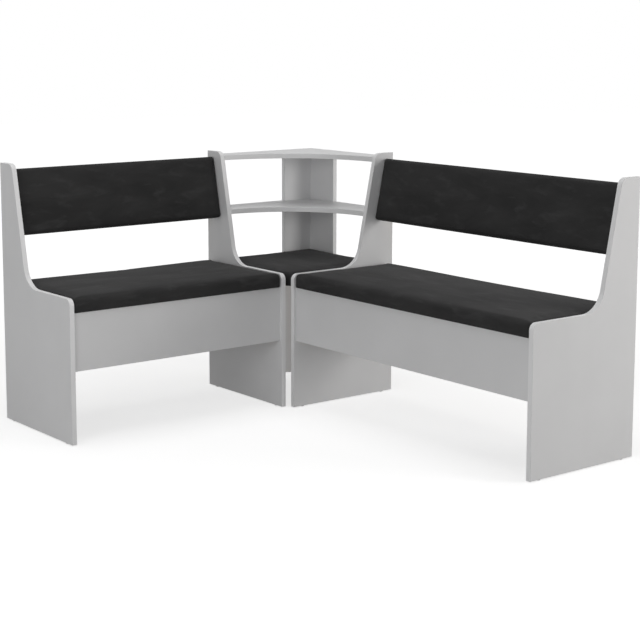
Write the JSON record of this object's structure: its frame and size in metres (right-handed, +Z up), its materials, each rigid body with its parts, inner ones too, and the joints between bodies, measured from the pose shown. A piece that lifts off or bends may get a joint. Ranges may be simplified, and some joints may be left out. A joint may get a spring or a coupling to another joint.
{
  "type": "corner bench",
  "caption": "L-shaped corner bench with white board panels, dark padded seats and backrests, seat lids that swing up over storage chests, and curved shelves in the corner.",
  "frame": {"origin": "middle of the rectangle that the bench covers, on the floor", "axes": "+X along the long bench, away from the corner; +Y towards the long bench's wall; +Z up"},
  "size_m": [1.498, 1.216, 0.81],
  "materials": {
    "white_board": "smooth matt white melamine coating on chipboard",
    "raw_board": "uncoated chipboard, hidden by the upholstery",
    "foam": "soft polyurethane foam, hidden by the cover",
    "upholstery": "matt anthracite microfibre with a short nap",
    "plain_wood": "planed softwood and beech, unfinished",
    "steel": "zinc-plated",
    "glide_plastic": "moulded, light grey"
  },
  "bodies": {
    "frame": {"right_end_panel": "white_board", "left_end_panel": "white_board", "right_inner_panel": "white_board", "left_inner_panel": "white_board", "right_apron": "white_board", "left_apron": "white_board", "right_rear_rail": "white_board", "left_rear_rail": "white_board", "right_chest_floor": "white_board", "left_chest_floor": "white_board", "right_corner_upright": "white_board", "left_corner_upright": "white_board", "right_backrest_board": "raw_board", "left_backrest_board": "raw_board", "right_backrest_foam": "foam", "left_backrest_foam": "foam", "right_backrest_cover": "upholstery", "left_backrest_cover": "upholstery", "right_hinge_fixed_leaves": "steel", "left_hinge_fixed_leaves": "steel", "right_hinge_pins": "steel", "left_hinge_pins": "steel", "top_shelf": "white_board", "low_shelf": "white_board", "corner_seat_board": "raw_board", "corner_seat_foam": "foam", "corner_seat_cover": "upholstery", "chest_floor_cleats": "plain_wood", "corner_seat_cleats": "plain_wood", "dowels": "plain_wood", "cam_bolts": "steel", "cams": "steel", "cleat_screws": "steel", "hinge_rail_screws": "steel", "floor_glides": "glide_plastic"},
    "right_lid": {"right_seat_board": "raw_board", "right_seat_foam": "foam", "right_seat_cover": "upholstery", "right_hinge_moving_leaves": "steel", "right_lid_screws": "steel"},
    "left_lid": {"left_seat_board": "raw_board", "left_seat_foam": "foam", "left_seat_cover": "upholstery", "left_hinge_moving_leaves": "steel", "left_lid_screws": "steel"}
  },
  "joints": [
    {"name": "right_lid_hinge", "type": "hinge", "parent": "frame", "child": "right_lid", "pos_m": [0.214, 0.5323, 0.3929], "axis": [-1, 0, 0], "range_deg": [0, 68]},
    {"name": "left_lid_hinge", "type": "hinge", "parent": "frame", "child": "left_lid", "pos_m": [-0.6733, -0.214, 0.3929], "axis": [0, -1, 0], "range_deg": [0, 68]}
  ]
}
